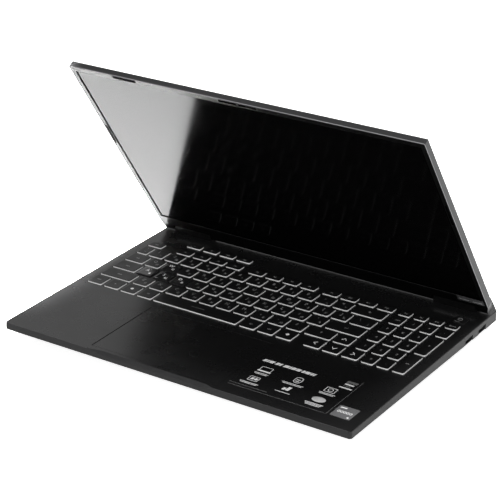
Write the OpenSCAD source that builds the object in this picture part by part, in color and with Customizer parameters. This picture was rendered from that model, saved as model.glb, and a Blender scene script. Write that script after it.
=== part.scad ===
// Laptop computer with a 16-inch screen, a full keyboard with a number pad,
// and a clamshell lid that stands part way open.
// X runs to the right, the front edge faces -Y, and Z is up.
// The origin is on the table, below the middle of the base.

/* [Base] */
// Width of the base and the lid
body_w = 354; // [352:1:356]
// Depth of the base, front edge to rear edge
body_d = 269; // [267:1:271]
// Height of the deck above the table
deck_h = 17.5; // [17:0.5:19]
// Thickness of the walls of the casings
wall = 1.6; // [1.4:0.1:1.8]
// Height of the visible side wall at the front edge
rim_front = 6.6; // [6:0.1:7]
// Height of the visible side wall at the rear edge
rim_rear = 9.8; // [9:0.1:10]
// Gap between the bottom cover and the table
foot_h = 2; // [1.5:0.1:2.5]

/* [Lid] */
// How far the lid stands open at rest, in degrees
lid_open = 57.5; // [0:0.5:130]
// Distance from the hinge axis to the lid's top edge
lid_len = 239.7; // [238:0.1:239.7]
// Thickness of the lid at its top edge
lid_top_t = 6.2; // [6:0.1:6.5]
// Thickness of the lid at the hinge
lid_root_t = 7.8; // [7.6:0.1:8]
// Width of the picture area
screen_w = 344.7; // [340:0.1:345]
// Height of the picture area
screen_h = 215.4; // [212:0.1:215.6]

/* [Keyboard] */
// Spacing of the letter keys
pitch = 18.5; // [18.3:0.1:18.6]
// Width of a letter key
key_w = 15.5; // [15:0.1:16]
// Play between a key and its hole
key_gap = 0.4; // [0.3:0.05:0.5]
// Height that the keys stand above the keyboard frame
key_rise = 1.0; // [0.8:0.1:1.1]

/* [Touchpad] */
// Width of the touchpad
pad_w = 129.9; // [120:0.1:131]
// Depth of the touchpad
pad_d = 84.5; // [80:0.5:86]

/* [Hinges] */
// Radius of the hinge pins
pin_r = 1.25; // [1.2:0.05:1.3]
// Radial clearance of a pin in the lid's knuckle
pin_play = 0.05; // [0.02:0.01:0.08]

/* [Hidden] */
$fn = 48;
half = body_w / 2;
eps = 0.01;
far = 400;
// corner cut at the rear of the base
cut_x = 16;
cut_y = 20.3;
cut_len = norm([cut_x, cut_y]);
corner_r = 2.5;
// the casings part along a plane that tips down to the rear
part_tilt = atan((rim_rear - rim_front) / body_d);
cover_z = foot_h - deck_h;
floor_z = cover_z + wall;
ceil_z = -wall;
bevel = 0.5;
// keyboard
frame_top = 0;
frame_t = 1.2;
key_top = frame_top + key_rise;
key_bottom = -2.4;
key_d = 16;
plate_top = -5.0;
plate_t = 1.2;
well = [-169, 168.5, 100.2, 223.7];
row_y = [102.9, 121.4, 139.9, 158.4, 176.9];
left_x = -166;
pad_x = [108, 123.4, 138.8, 154.2];
pad_key_w = 11.1;
// touchpad
touch_x = -84.9;
touch_y = 6.8;
touch_gap = 0.35;
// hinge axis, measured from the front edge and from the deck
axis_y = 240;
axis_z = 5.5;
lid_front = -5;
seam_t = lid_front + 3;
lid_root = -3.9;
lid_back_root = lid_front + lid_root_t;
lid_back_top = lid_front + lid_top_t;
cavity_s = 7.5;
screen_s = 18.3;
notch_x = [120.4, 163.6];
notch_s = 5.6;
hump_x = [121, 163];
hump_r = 4.8;
knuckle_x = [164.3, 171.2];
knuckle_r = 2.5;
// fans
fan_x = 112;
fan_y = 204;
fan_bottom = -13.5;
fan_top = -6.6;
// sockets: height of the middle of the row, and the place of each
port_z = -7;
type_a_y = [197.5, 221.8];
type_c_y = [165, 180];
video_y = 197.2;
network_y = 217.5;
inlet_y = 232.5;
audio_y = 150;
window_d = 8;
screw_at = [[-157, 17], [157, 17], [-157.5, 98], [157.5, 98], [-60, 100], [60, 100],
            [-158.5, 228], [158.5, 228], [0, 258]];
bumper_h = 0.35;
screen_drop = 0.8;
camera_s = 236.8;

// ---- placing -------------------------------------------------------------

// base pieces: y from the front edge, z from the deck's top face
module on_deck() translate([0, -body_d / 2, deck_h]) children();

// lid pieces: the hinge axis is the origin and the lid lies shut, top edge to -Y
module on_lid()
    on_deck() translate([0, axis_y, axis_z]) rotate([-lid_open, 0, 0]) children();

// a box from its limits
module block(x, y, z)
    translate([x[0], y[0], z[0]]) cube([x[1] - x[0], y[1] - y[0], z[1] - z[0]]);

// a box in the lid: s is measured from the hinge axis towards the top edge
module lid_block(x, s, t) block(x, [-s[1], -s[0]], t);

// a profile drawn as [y, z], swept along X
module along_x(x) translate([x[0], 0, 0]) rotate([90, 0, 90])
    linear_extrude(x[1] - x[0]) children();

// a profile drawn as [x, z], swept along Y
module along_y(y) translate([0, y[1], 0]) rotate([90, 0, 0])
    linear_extrude(y[1] - y[0]) children();

// a round bar along X
module bar(x, r) translate([x[0], 0, 0]) rotate([0, 90, 0]) cylinder(h = x[1] - x[0], r = r);

module both_sides() { children(); mirror([1, 0, 0]) children(); }

module rounded(x, y, r) {
    translate([x[0] + r, y[0]]) square([x[1] - x[0] - 2 * r, y[1] - y[0]]);
    translate([x[0], y[0] + r]) square([x[1] - x[0], y[1] - y[0] - 2 * r]);
    for (cx = [x[0] + r, x[1] - r], cy = [y[0] + r, y[1] - r]) translate([cx, cy]) circle(r);
}

// ---- outlines ------------------------------------------------------------

function slip_y(i) = i * (cut_len - cut_y) / cut_x;
function slip_x(i) = i * (cut_len - cut_x) / cut_y;
function base_half(i) = [[half - i, i], [half - i, body_d - cut_y - slip_y(i)],
                         [half - cut_x - slip_x(i), body_d - i]];
function mirrored(p) = [for (k = [len(p) - 1:-1:0]) [-p[k][0], p[k][1]]];

// plan of the base, moved in by i
module base_plan(i = 0) intersection() {
    polygon(concat(base_half(i), mirrored(base_half(i))));
    rounded([-half + i, half - i], [i, far], max(corner_r - i, 0.8));
}

// everything below the plane where the two casings meet
module below_parting() translate([0, 0, -rim_front]) rotate([-part_tilt, 0, 0])
    block([-far, far], [-far, far], [-60, 0]);

// plan of the lid, seen from above with the lid shut
module lid_plan() {
    r = 1.5;
    intersection() {
        polygon([[-half, -lid_len], [half, -lid_len], [half, -8], [half - 3, -lid_root],
                 [-half + 3, -lid_root], [-half, -8]]);
        rounded([-half, half], [-lid_len, far], r);
    }
}

// side profile of the whole lid as [y, t]
module lid_profile() polygon([[-lid_len + 0.5, lid_front], [1.6, lid_front], [3.2, -3.6],
    [-lid_root, -2], [-lid_root, 1], [2.4, lid_back_root], [-lid_len + 1, lid_back_top],
    [-lid_len, lid_back_top - 1], [-lid_len, lid_front + 0.5]]);

module lid_solid() intersection() {
    translate([0, 0, lid_front - 1]) linear_extrude(lid_root_t + 2) lid_plan();
    along_x([-half, half]) lid_profile();
}

module hinge_notches() both_sides()
    lid_block(notch_x, [-9, notch_s], [lid_front - 1, lid_back_root + 1]);

module knuckle_room() both_sides() bar([notch_x[1] - eps, knuckle_x[1]], knuckle_r);

// ---- casings -------------------------------------------------------------

// scoop in the front edge that a finger reaches into to raise the lid
module finger_notch() hull() {
    along_x([-72, 36]) polygon([[-1, -2.4], [0, -2.4], [3, eps], [-1, eps]]);
    along_x([-84, 46]) polygon([[-1, -0.1], [0, -0.1], [0.3, eps], [-1, eps]]);
}

module socket_windows() {
    at_type_a() block([half - window_d, half + 1], [-6.65, 6.65], [-2.95, 2.95]);
    left_windows();
}

module at_type_a()
    for (y = type_a_y) translate([0, y, port_z]) children();

module left_windows() {
    for (y = type_c_y) translate([0, y, port_z]) along_x([-half - 1, -half + window_d])
        rounded([-4.7, 4.7], [-1.8, 1.8], 1.7);
    translate([0, video_y, port_z]) block([-half - 1, -half + window_d], [-7.7, 7.7], [-2.9, 2.9]);
    translate([0, network_y, port_z]) block([-half - 1, -half + window_d], [-6.8, 6.8], [-3.6, 4.6]);
    translate([0, inlet_y, port_z]) bar([-half - 1, -half + window_d], 4.1);
    translate([0, audio_y, port_z]) bar([-half - 1, -half + window_d], 3.1);
}

module screw_bosses() for (p = screw_at) translate([p[0], p[1], floor_z])
    cylinder(h = ceil_z - floor_z + 0.3, r = 2.4);

module top_case() color([0.10, 0.10, 0.11]) on_deck() {
    difference() {
        intersection() {
            translate([0, 0, -12]) linear_extrude(12) base_plan();
            along_x([-half, half]) polygon([[0, -12], [0, -bevel], [bevel, 0], [body_d - bevel, 0],
                [body_d, -bevel], [body_d, -12]]);
            along_y([0, body_d]) polygon([[-half, -12], [-half, -bevel], [-half + bevel, 0],
                [half - bevel, 0], [half, -bevel], [half, -12]]);
        }
        below_parting();
        translate([0, 0, -13]) linear_extrude(13 + ceil_z) base_plan(2);
        block([well[0], well[1]], [well[2], well[3]], [-3, 1]);
        block([touch_x - touch_gap, touch_x + pad_w + touch_gap],
              [touch_y - touch_gap, touch_y + pad_d + touch_gap], [-3, 1]);
        finger_notch();
        socket_windows();
        both_sides() block([148.8, 157.2], [237.3, 242.7], [-3, 1]);
        both_sides() block([46, 150], [body_d - 3, body_d + 1], [-8.6, -3]);
    }
    difference() {
        screw_bosses();
        for (p = screw_at) translate([p[0], p[1], -17]) cylinder(h = 10, r = 1.05);
    }
}

module vent_slots() {
    both_sides() for (i = [0:8]) block([fan_x - 34, fan_x + 34],
        [fan_y - 32 + i * 7.6, fan_y - 28.8 + i * 7.6], [cover_z - 1, floor_z + 1]);
    both_sides() for (i = [0:5]) block([132 + i * 4.6, 134 + i * 4.6], [30, 44],
        [cover_z - 1, floor_z + 1]);
}

module bottom_cover() color([0.07, 0.07, 0.075]) on_deck() difference() {
    hull() {
        translate([0, 0, -rim_front]) rotate([-part_tilt, 0, 0]) translate([0, 0, -eps])
            linear_extrude(eps) base_plan(0.3);
        translate([0, 0, cover_z]) linear_extrude(eps) rounded([-163, 163], [13, 262], 6);
    }
    hull() {
        translate([0, 0, -rim_front + 0.1]) rotate([-part_tilt, 0, 0]) translate([0, 0, -eps])
            linear_extrude(eps) base_plan(2);
        translate([0, 0, floor_z]) linear_extrude(eps) rounded([-161, 161], [15, 260], 5);
    }
    socket_windows();
    vent_slots();
    for (p = screw_at) translate([p[0], p[1], cover_z - 1]) {
        cylinder(h = 3, r = 1.3);
        cylinder(h = 1.9, r = 2.5);
    }
}

module rear_grilles() color([0.06, 0.06, 0.065]) on_deck() both_sides() difference() {
    block([46, 150], [body_d - 1.9, body_d - 0.6], [-8.6, -3]);
    for (i = [0:19]) block([48.6 + i * 5, 52 + i * 5], [body_d - 3, body_d], [-7.8, -3.8]);
}

// ---- keyboard ------------------------------------------------------------

// keys are [left, right, front, rear]
function key_run(x0, n, row, depth = key_d, step = pitch) =
    [for (i = [0:n - 1]) [x0 + i * step, x0 + i * step + key_w, row, row + depth]];
function key_at(a, b, row, rows = 1) = [a, b, row_y[row], row_y[row] + key_d + (rows - 1) * pitch];
function pad_key(c, row, rows = 1) = key_at(pad_x[c], pad_x[c] + pad_key_w, row, rows);

fn_y = 195.2;
fn_d = 10;
short_y = 212.2;
short_d = 8;

escape_set = [[-166.4, -150.9, fn_y, fn_y + fn_d]];
function_set = concat(key_run(-133.2, 4, fn_y, fn_d, 18.9), key_run(-51.5, 4, fn_y, fn_d, 18.9),
    key_run(29.1, 4, fn_y, fn_d, 18.9),
    [for (x = pad_x) [x - 0.5, x - 0.5 + pad_key_w, fn_y, fn_y + fn_d]]);
shortcut_set = key_run(-133.2, 4, short_y, short_d, 18.9);
number_row_set = concat([key_at(-166.4, -154.8, 4)], key_run(-152.4, 12, row_y[4]),
    [key_at(70.1, 100.9, 4)]);
tab_row_set = concat([key_at(left_x, -146, 3)],
    [for (k = key_run(-143, 12, row_y[3])) if (abs(k[0] + 124.5) > 1) k], [key_at(79.5, 100.6, 3)]);
caps_row_set = concat([key_at(left_x, -141.2, 2)],
    [for (k = key_run(-138, 11, row_y[2])) if (k[0] < -139 || k[0] > -83) k]);
shift_row_set = concat([key_at(left_x, -132.3, 1)], key_run(-129, 10, row_y[1]),
    [key_at(56.5, 82.2, 1)]);
control_row_set = concat(key_run(-166.4, 4, row_y[0], key_d, 18.8),
    [key_at(1.3, 16.8, 0), key_at(20.1, 35.6, 0), key_at(38.9, 54.4, 0)]);
clear_set = concat([key_run(-143, 12, row_y[3])[1]],
    [for (i = [0:2]) key_run(-138, 11, row_y[2])[i]]);
space_set = [key_at(-92, -2.5, 0)];
enter_set = [key_at(66, 100.6, 2)];
arrow_set = [key_at(67.2, 82.8, 0), key_at(85.8, 101.4, 0), key_at(104.9, 120.3, 0),
    key_at(85.3, 101, 1)];
number_pad_set = concat(
    [key_at(124, 135.6, 0), key_at(139.1, 150.5, 0), pad_key(3, 0, 2)],
    [for (r = [1:3], c = [0:2]) pad_key(c, r)], [pad_key(3, 2, 2)], [for (c = [0:3]) pad_key(c, 4)]);
power_set = [[153.8, 165.6, 209.3, 220.3]];
all_keys = concat(escape_set, function_set, shortcut_set, number_row_set, tab_row_set, caps_row_set,
    shift_row_set, control_row_set, clear_set, space_set, enter_set, arrow_set, number_pad_set,
    power_set);

// plan of a key with cut corners, moved in by i
module key_plan(k, i) {
    c = 1;
    polygon([[k[0] + i + c, k[2] + i], [k[1] - i - c, k[2] + i], [k[1] - i, k[2] + i + c],
             [k[1] - i, k[3] - i - c], [k[1] - i - c, k[3] - i], [k[0] + i + c, k[3] - i],
             [k[0] + i, k[3] - i - c], [k[0] + i, k[2] + i + c]]);
}

module keys(list) on_deck() for (k = list) {
    translate([0, 0, key_bottom]) linear_extrude(key_top - 0.3 - key_bottom) key_plan(k, 0);
    translate([0, 0, key_top - 0.3]) linear_extrude(0.3) key_plan(k, 0.4);
}

module keyboard_frame() color([0.05, 0.05, 0.055]) on_deck() difference() {
    block([well[0], well[1]], [well[2], well[3]], [frame_top - frame_t, frame_top]);
    for (k = all_keys) block([k[0] - key_gap, k[1] + key_gap], [k[2] - key_gap, k[3] + key_gap],
        [-4, 0]);
}

module keyboard_plate() color([0.55, 0.56, 0.58]) on_deck() difference() {
    union() {
        block([-168, 168], [102.5, 141], [plate_top - plate_t, plate_top]);
        block([-161.5, 161.5], [141, 224], [plate_top - plate_t, plate_top]);
    }
    for (x = [-140:40:140], y = [121, 176.5]) translate([x, y, -8]) cylinder(h = 4, r = 1);
}

module escape_key() color([0.09, 0.09, 0.1]) keys(escape_set);
module function_keys() color([0.09, 0.09, 0.1]) keys(function_set);
module shortcut_keys() color([0.09, 0.09, 0.1]) keys(shortcut_set);
module number_row_keys() color([0.09, 0.09, 0.1]) keys(number_row_set);
module tab_row_keys() color([0.09, 0.09, 0.1]) keys(tab_row_set);
module caps_row_keys() color([0.09, 0.09, 0.1]) keys(caps_row_set);
module shift_row_keys() color([0.09, 0.09, 0.1]) keys(shift_row_set);
module control_row_keys() color([0.09, 0.09, 0.1]) keys(control_row_set);
module clear_keys() color([0.25, 0.25, 0.27]) keys(clear_set);
module space_bar() color([0.09, 0.09, 0.1]) keys(space_set);
module enter_key() color([0.09, 0.09, 0.1]) keys(enter_set);
module arrow_keys() color([0.09, 0.09, 0.1]) keys(arrow_set);
module number_pad_keys() color([0.09, 0.09, 0.1]) keys(number_pad_set);
module power_button() color([0.09, 0.09, 0.1]) keys(power_set);

module touchpad() color([0.11, 0.11, 0.12]) on_deck() {
    block([touch_x, touch_x + pad_w], [touch_y, touch_y + pad_d], [-1.5, -0.05]);
    block([touch_x + 8, touch_x + pad_w - 8], [touch_y + 6, touch_y + pad_d - 6], [-2.6, -1.5]);
}

module spec_label() color([0.05, 0.05, 0.05]) on_deck()
    linear_extrude(0.1) rounded([49.5, 145.5], [14, 75], 2);

module processor_badge() color([0.5, 0.5, 0.52]) on_deck()
    linear_extrude(0.15) rounded([148, 166.3], [15, 32.8], 1);

// ---- sockets -------------------------------------------------------------

module type_a_sockets() color([0.6, 0.6, 0.62]) on_deck() for (y = type_a_y)
    translate([0, y, port_z]) {
        difference() {
            block([163, 176], [-6.6, 6.6], [-2.9, 2.9]);
            block([165, 177], [-6.25, 6.25], [-2.55, 2.55]);
        }
        block([164.5, 175], [-5.5, 5.5], [0.1, 2]);
    }

module type_c_sockets() color([0.6, 0.6, 0.62]) on_deck() for (y = type_c_y)
    translate([0, y, port_z]) {
        difference() {
            along_x([-176.2, -168]) rounded([-4.65, 4.65], [-1.75, 1.75], 1.65);
            along_x([-177, -169]) rounded([-4.25, 4.25], [-1.35, 1.35], 1.3);
        }
        block([-175.2, -168.5], [-3.4, 3.4], [-0.35, 0.35]);
    }

module video_socket() color([0.6, 0.6, 0.62]) on_deck() translate([0, video_y, port_z]) {
    difference() {
        block([-176.2, -165], [-7.6, 7.6], [-2.8, 2.8]);
        along_x([-177, -166]) polygon([[-7.1, 2.4], [7.1, 2.4], [7.1, -0.6], [5.4, -2.4],
            [-5.4, -2.4], [-7.1, -0.6]]);
    }
    block([-175.2, -165.5], [-6, 6], [0.2, 1.2]);
}

module network_socket() color([0.08, 0.08, 0.085]) on_deck() translate([0, network_y, port_z])
    difference() {
        block([-176, -162], [-6.7, 6.7], [-3.5, 4.5]);
        block([-177, -164], [-5.9, 5.9], [-2.8, 3.7]);
    }

module power_inlet() color([0.08, 0.08, 0.085]) on_deck() translate([0, inlet_y, port_z]) {
    difference() {
        bar([-176, -164], 4);
        bar([-177, -165], 3.1);
    }
    bar([-174.5, -164.5], 0.5);
}

module audio_socket() color([0.08, 0.08, 0.085]) on_deck() translate([0, audio_y, port_z])
    difference() {
        bar([-176.6, -162], 3);
        bar([-178, -163], 1.8);
    }

// ---- underside -----------------------------------------------------------

module front_feet() color([0.12, 0.12, 0.12]) on_deck() both_sides()
    translate([0, 0, -deck_h]) linear_extrude(foot_h) rounded([149, 162], [20.8, 28.8], 3);

module rear_foot() color([0.12, 0.12, 0.12]) on_deck()
    translate([0, 0, -deck_h]) linear_extrude(foot_h) rounded([-148, 148], [246, 254], 3.9);

module case_screws() color([0.3, 0.3, 0.32]) on_deck() for (p = screw_at)
    translate([p[0], p[1], 0]) {
        translate([0, 0, cover_z + 0.1]) difference() {
            cylinder(h = 0.8, r = 2.3);
            translate([0, 0, -1]) cylinder(h = 1.5, r = 1, $fn = 6);
        }
        translate([0, 0, cover_z + 0.9]) cylinder(h = 6.5, r = 1);
    }

// ---- hinges --------------------------------------------------------------

module hinge_bracket() color([0.35, 0.35, 0.37]) on_deck() {
    difference() {
        union() {
            translate([0, axis_y, axis_z]) bar([147, 162.5], 3.2);
            block([149, 157], [237.5, 242.5], [ceil_z, axis_z]);
            block([126, 160], [232, 262], [ceil_z - 2, ceil_z]);
        }
        translate([0, axis_y, axis_z]) bar([146, 164], pin_r);
        for (p = [[131, 236], [131, 257], [152, 256]])
            translate([p[0], p[1], -6]) cylinder(h = 6, r = 1.1);
    }
}

module hinge_bracket_right() hinge_bracket();
module hinge_bracket_left() mirror([1, 0, 0]) hinge_bracket();

module hinge_pin() color([0.6, 0.6, 0.62]) on_deck() translate([0, axis_y, axis_z]) {
    bar([147, knuckle_x[1] + 0.3], pin_r);
    bar([knuckle_x[1] + 0.3, knuckle_x[1] + 1.1], 2);
}

module hinge_pin_right() hinge_pin();
module hinge_pin_left() mirror([1, 0, 0]) hinge_pin();

module hinge_cap() color([0.06, 0.06, 0.065]) on_deck() difference() {
    union() {
        translate([0, axis_y, axis_z]) bar(hump_x, hump_r);
        block(hump_x, [axis_y - hump_r, axis_y + hump_r], [0, axis_z]);
    }
    translate([0, axis_y, axis_z]) bar([146, 164], 3.3);
    block([148.8, 157.2], [237.3, 242.7], [-1, axis_z]);
}

module hinge_cap_right() hinge_cap();
module hinge_cap_left() mirror([1, 0, 0]) hinge_cap();

module hinge_leaves() color([0.45, 0.45, 0.47]) on_lid() both_sides() difference() {
    union() {
        bar(knuckle_x, knuckle_r);
        lid_block(knuckle_x, [0, 12], [-0.6, 0.6]);
        lid_block([150, knuckle_x[1]], [10, 72], [-0.6, 0.6]);
    }
    bar([knuckle_x[0] - 1, knuckle_x[1] + 1], pin_r + pin_play);
    for (p = [[156, 20], [156, 45], [165, 62]]) translate([p[0], -p[1], -2])
        cylinder(h = 4, r = 1.1);
}

// ---- inside the base -----------------------------------------------------

module mainboard() color([0.05, 0.16, 0.12]) on_deck() {
    linear_extrude_at(-9.6, 1.2) {
        translate([-66, 118]) square([132, 138]);
        translate([-154, 118]) square([308, 44]);
    }
    for (p = [[-40, 182, 36, 26], [8, 186, 40, 38]])
        block([p[0], p[0] + p[2]], [p[1], p[1] + p[3]], [-10.6, -9.6]);
    for (x = [-62, -54, 55, 62], y = [176:9:230]) block([x - 3, x + 3], [y, y + 6], [-11.6, -9.6]);
}

module linear_extrude_at(z, h) translate([0, 0, z]) linear_extrude(h) children();

module cold_plates() color([0.72, 0.42, 0.28]) on_deck()
    for (p = [[-42, 180, 40, 30], [6, 184, 44, 42]])
        block([p[0], p[0] + p[2]], [p[1], p[1] + p[3]], [-11.6, -10.6]);

// a flat strip of width w from one point to the next, with slightly fuller round joints
module strip(points, w) for (i = [0:len(points) - 2]) {
    a = points[i];
    b = points[i + 1];
    d = b - a;
    translate(a) rotate(atan2(d[1], d[0])) translate([0, -w / 2]) square([norm(d), w]);
    translate(a) circle(w / 2 + 0.15);
    translate(b) circle(w / 2 + 0.15);
}

module heat_pipes() color([0.78, 0.46, 0.3]) on_deck() linear_extrude_at(-13.5, 1.9) {
    strip([[-16, 196], [-50, 214], [-58, 247], [-70, 250], [-148, 250]], 6);
    strip([[-34, 190], [-40, 234], [-56, 258], [-148, 258]], 5);
    strip([[16, 204], [49, 218], [58, 247], [70, 250], [148, 250]], 6);
    strip([[34, 196], [40, 234], [56, 258], [148, 258]], 5);
}

module cooling_fins() color([0.7, 0.7, 0.72]) on_deck() both_sides() {
    block([74, 150], [245, 262], [-11.6, -11]);
    for (i = [0:18]) block([75 + i * 4, 75.4 + i * 4], [245, 262], [-11, -4.4]);
    block([74, 150], [245, 262], [-4.4, -4]);
}

module fan_housing() color([0.08, 0.08, 0.085]) on_deck() translate([fan_x, fan_y, 0]) {
    difference() {
        block([-41, 41], [-38, 38], [fan_bottom, fan_top]);
        translate([0, 0, fan_bottom + 1]) linear_extrude(fan_top - fan_bottom - 2) {
            circle(36);
            translate([-36, 0]) square([72, 45]);
        }
        translate([0, 0, fan_bottom - 1]) cylinder(h = 3, r = 25);
        translate([0, 0, fan_top - 2]) cylinder(h = 4, r = 23);
    }
    translate([0, 0, fan_bottom]) {
        cylinder(h = 1, r = 10);
        for (a = [30, 150, 270]) rotate(a) translate([0, -2, 0]) cube([26, 4, 1]);
        cylinder(h = 5, r = 1.5);
    }
}

module fan_housing_right() fan_housing();
module fan_housing_left() mirror([1, 0, 0]) fan_housing();

module fan_rotor() color([0.15, 0.15, 0.16]) on_deck()
    translate([fan_x, fan_y, fan_bottom + 1.4]) difference() {
        union() {
            cylinder(h = 4.2, r = 13);
            for (i = [0:22]) rotate(i * 360 / 23) translate([12, 0, 0]) rotate(-28)
                cube([21, 0.7, 4]);
        }
        translate([0, 0, -1]) cylinder(h = 5, r = 1.5 + pin_play);
    }

module fan_rotor_right() fan_rotor();
module fan_rotor_left() mirror([1, 0, 0]) fan_rotor();

module battery() color([0.1, 0.1, 0.11]) on_deck() {
    for (i = [0:3]) block([-116 + i * 58.6, -60 + i * 58.6], [18, 92], [-13.4, -7.6]);
    difference() {
        block([-118, 118], [15, 95], [-13, -8]);
        for (i = [0:3]) block([-116 + i * 58.6, -60 + i * 58.6], [18, 92], [-14, -7]);
    }
}

module storage_card() color([0.06, 0.2, 0.14]) on_deck() {
    block([66, 146], [134, 156], [-11.4, -10.6]);
    for (x = [74, 92, 110]) block([x, x + 14], [137, 153], [-12.6, -11.4]);
    block([146, 152], [134, 156], [-13, -9.6]);
}

module memory_modules() color([0.06, 0.2, 0.14]) on_deck() {
    for (z = [-11.2, -13]) {
        block([-35, 35], [124, 150], [z, z + 0.9]);
        for (i = [0:3]) block([-32 + i * 17, -20 + i * 17], [130, 142], [z + 0.9, z + 1.4]);
    }
    block([-37, 37], [150, 156], [-13.2, -9.6]);
}

module wireless_card() color([0.06, 0.2, 0.14]) on_deck() {
    block([-88, -66], [124, 152], [-11.4, -10.6]);
    block([-86, -68], [128, 144], [-12.4, -11.4]);
    block([-88, -66], [152, 158], [-12, -9.6]);
}

module speakers() color([0.07, 0.07, 0.075]) on_deck() both_sides() difference() {
    block([126, 162], [26, 84], [-13.4, -7.4]);
    translate([144, 62, -15]) cylinder(h = 2.6, r = 11);
}

// ---- lid -----------------------------------------------------------------

// the long round-ended recess that the camera looks out of, moved in by i
module camera_slot(t0, t1, i) translate([0, -camera_s, t0]) linear_extrude(t1 - t0)
    rounded([-19.2 + i, 19.2 - i], [-1.15 + i, 1.15 - i], 1.1 - i);

// everything behind the seam between the lid's two shells
module behind_seam() block([-far, far], [-far, far], [seam_t, 20]);

module lid_cavity_profile() polygon([[-cavity_s, lid_front + 1.2], [-cavity_s, lid_back_root - 1.5],
    [-lid_len + 1.2, lid_back_top - 1.3], [-lid_len + 1.2, lid_front + 1.2]]);

module lid_cavity() along_x([-half + 2, half - 2]) lid_cavity_profile();

module lid_cover() color([0.12, 0.12, 0.13]) on_lid() difference() {
    intersection() {
        lid_solid();
        behind_seam();
    }
    lid_cavity();
    hinge_notches();
    knuckle_room();
    both_sides() bar([knuckle_x[1] - eps, knuckle_x[1] + 1.4], 2.3);
    both_sides() lid_block(knuckle_x, [0, cavity_s + 1], [-0.6, 0.6]);
}

module screen_bezel() color([0.06, 0.06, 0.065]) on_lid() difference() {
    lid_solid();
    behind_seam();
    lid_cavity();
    hinge_notches();
    knuckle_room();
    both_sides() bar([knuckle_x[1] - eps, knuckle_x[1] + 1.4], 2.3);
    lid_block([-screen_w / 2, screen_w / 2], [screen_s, screen_s + screen_h], [-6, -3]);
    lid_block([148, 174.4], [10, 17.8], [-6, lid_front + 0.5]);
    camera_slot(lid_front - 1, lid_front + 0.5, 0);
    translate([0, -camera_s, -6]) cylinder(h = 3, r = 1.2);
}

module display_panel() color([0.02, 0.02, 0.025]) on_lid() {
    play = 0.1;
    lid_block([-screen_w / 2 + play, screen_w / 2 - play],
              [screen_s + play, screen_s + screen_h - play], [lid_front + screen_drop, lid_front + 1.2]);
    lid_block([-174.3, 174.3], [13, 234.6], [lid_front + 1.2, -0.8]);
}

module camera_module() color([0.05, 0.16, 0.12]) on_lid() {
    lid_block([-28, 28], [235.3, 237.8], [-3.2, -2.2]);
    translate([0, -camera_s, -4.3]) cylinder(h = 1.1, r = 1.1);
    for (x = [-20, 20]) lid_block([x - 1.5, x + 1.5], [235.5, 237.6], [-3.7, -3.2]);
}

module camera_window() color([0.02, 0.02, 0.03]) on_lid()
    camera_slot(lid_front + 0.15, lid_front + 0.5, 0.05);

module lid_bumpers() color([0.03, 0.03, 0.03]) on_lid() {
    lid_block([-129.5, -105.5], [235.9, 238.5], [lid_front - bumper_h, lid_front]);
    both_sides() lid_block([173.4, 175.4], [132, 157.6], [lid_front - bumper_h, lid_front]);
}

module indicator_strip() color([0.3, 0.3, 0.32]) on_lid() {
    lid_block([148, 161.3], [10, 17.8], [lid_front + 0.1, lid_front + 0.5]);
    lid_block([161.7, 174.4], [10, 17.8], [lid_front + 0.1, lid_front + 0.5]);
}

module wifi_antennas() color([0.75, 0.6, 0.3]) on_lid() both_sides()
    lid_block([60, 104], [7.7, 12.6], [-3.4, -2.9]);

module display_cable() color([0.1, 0.1, 0.1]) on_lid() {
    lid_block([-46, -24], [7.7, 12.8], [-2.4, 0.4]);
    lid_block([-46, -24], [12.8, 64], [-0.7, 0.4]);
}

top_case();
bottom_cover();
keyboard_frame();
keyboard_plate();
spec_label();
processor_badge();
type_a_sockets();
type_c_sockets();
video_socket();
network_socket();
power_inlet();
audio_socket();
rear_grilles();
front_feet();
rear_foot();
case_screws();
hinge_bracket_left();
hinge_bracket_right();
hinge_pin_left();
hinge_pin_right();
hinge_cap_left();
hinge_cap_right();
mainboard();
cold_plates();
heat_pipes();
cooling_fins();
fan_housing_left();
fan_housing_right();
battery();
storage_card();
memory_modules();
wireless_card();
speakers();
fan_rotor_left();
fan_rotor_right();
touchpad();
power_button();
escape_key();
function_keys();
shortcut_keys();
number_row_keys();
tab_row_keys();
caps_row_keys();
shift_row_keys();
control_row_keys();
clear_keys();
space_bar();
enter_key();
arrow_keys();
number_pad_keys();
lid_cover();
screen_bezel();
display_panel();
camera_module();
camera_window();
lid_bumpers();
indicator_strip();
hinge_leaves();
wifi_antennas();
display_cable();
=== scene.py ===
# %% [markdown]
# # A laptop computer, finished in Blender
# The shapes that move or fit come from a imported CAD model, loaded below as a fixed
# frame. This script adds what makes it look real: key caps with printed legends, marks on
# the labels, trims on the lid, contacts in the sockets, and a procedural material for every
# surface. The scene is in metres, X to the right, the front edge towards -Y, Z up.

# %% Load the frame
import math

import bmesh
import bpy
from mathutils import Matrix, Quaternion, Vector


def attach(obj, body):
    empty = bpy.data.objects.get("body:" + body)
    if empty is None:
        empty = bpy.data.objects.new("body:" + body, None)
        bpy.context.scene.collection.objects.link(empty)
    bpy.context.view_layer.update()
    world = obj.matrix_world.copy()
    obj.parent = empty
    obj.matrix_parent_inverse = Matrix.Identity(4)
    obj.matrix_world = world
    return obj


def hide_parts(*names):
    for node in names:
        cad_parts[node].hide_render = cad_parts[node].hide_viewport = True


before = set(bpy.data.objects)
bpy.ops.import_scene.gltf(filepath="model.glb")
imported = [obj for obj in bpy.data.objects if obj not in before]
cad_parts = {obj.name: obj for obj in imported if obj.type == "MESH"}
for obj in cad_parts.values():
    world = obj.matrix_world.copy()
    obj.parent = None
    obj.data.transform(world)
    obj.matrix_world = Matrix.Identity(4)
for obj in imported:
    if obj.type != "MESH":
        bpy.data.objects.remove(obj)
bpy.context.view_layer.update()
MM = 0.001

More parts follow.
